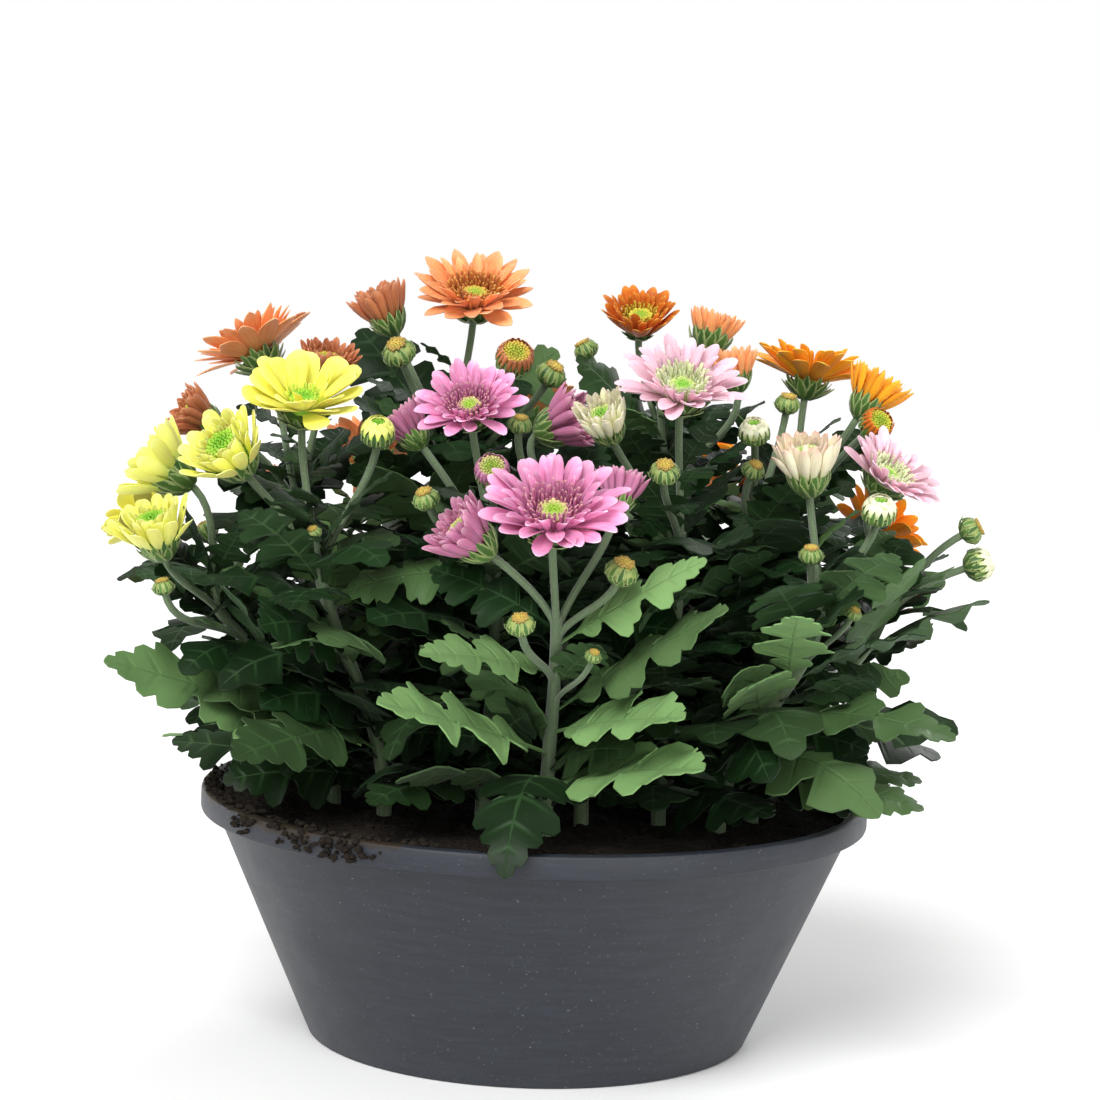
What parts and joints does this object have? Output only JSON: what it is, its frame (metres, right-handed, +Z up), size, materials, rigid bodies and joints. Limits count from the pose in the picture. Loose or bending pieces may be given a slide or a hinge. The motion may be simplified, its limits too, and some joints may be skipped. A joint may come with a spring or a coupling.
{
  "type": "pot chrysanthemum",
  "caption": "Bowl pot of young chrysanthemums in pink, pale pink, bronze, peach and yellow, with lobed leaves, closed and half-open buds and full blooms.",
  "frame": {"origin": "middle of the underside of the pot, on the surface that it stands on", "axes": "+Z up along the pot's axis, -Y towards the picture's viewer, +X to that viewer's right"},
  "size_m": [0.3044, 0.2505, 0.2655],
  "materials": {
    "pot": "matte",
    "soil": "rough moist peat",
    "foliage": "matte, downy leaves and stems",
    "petals_pink": "satin petals",
    "petals_pale": "satin petals",
    "petals_bronze": "satin petals",
    "petals_peach": "satin petals",
    "petals_yellow": "satin petals",
    "eyes": "closed florets"
  },
  "bodies": {
    "root": {"bronze_bloom_back": "petals_bronze", "bronze_bloom_far": "petals_bronze", "bronze_bloom_right": "petals_bronze", "bronze_bloom_top": "petals_bronze", "bronze_bloom_top_eye": "eyes", "bronze_bud_back": "petals_bronze", "bronze_bud_hidden": "petals_bronze", "bronze_bud_low": "petals_bronze", "bronze_bud_pale": "petals_bronze", "bronze_bud_right": "petals_bronze", "bronze_stem_back": "foliage", "bronze_stem_far": "foliage", "bronze_stem_right": "foliage", "bronze_stem_top": "foliage", "pale_bloom_middle": "petals_pale", "pale_bloom_middle_eye": "eyes", "pale_bloom_right": "petals_pale", "pale_bloom_right_eye": "eyes", "pale_bud_left": "petals_pale", "pale_cup": "petals_pale", "pale_stem_back": "foliage", "pale_stem_front": "foliage", "pale_stem_middle": "foliage", "pale_stem_right": "foliage", "peach_bloom_back": "petals_peach", "peach_bloom_left": "petals_peach", "peach_bloom_middle": "petals_peach", "peach_bloom_top": "petals_peach", "peach_bloom_top_eye": "eyes", "peach_bud_back": "petals_peach", "peach_bud_high": "petals_peach", "peach_bud_left": "petals_peach", "peach_bud_right": "petals_peach", "peach_stem_back": "foliage", "peach_stem_left": "foliage", "peach_stem_middle": "foliage", "peach_stem_top": "foliage", "pink_bloom_back": "petals_pink", "pink_bloom_back_eye": "eyes", "pink_bloom_front": "petals_pink", "pink_bloom_front_eye": "eyes", "pink_bud_behind": "petals_pink", "pink_bud_left": "petals_pink", "pink_bud_low": "petals_pink", "pink_bud_right": "petals_pink", "pink_stem_front": "foliage", "pink_stem_left": "foliage", "pink_stem_right": "foliage", "pot": "pot", "soil": "soil", "yellow_bloom_back": "petals_yellow", "yellow_bloom_front": "petals_yellow", "yellow_bloom_front_eye": "eyes", "yellow_bud_front": "petals_yellow", "yellow_bud_low": "petals_yellow", "yellow_bud_side": "petals_yellow", "yellow_stem_back": "foliage", "yellow_stem_front": "foliage", "yellow_stem_left": "foliage"}
  },
  "joints": []
}
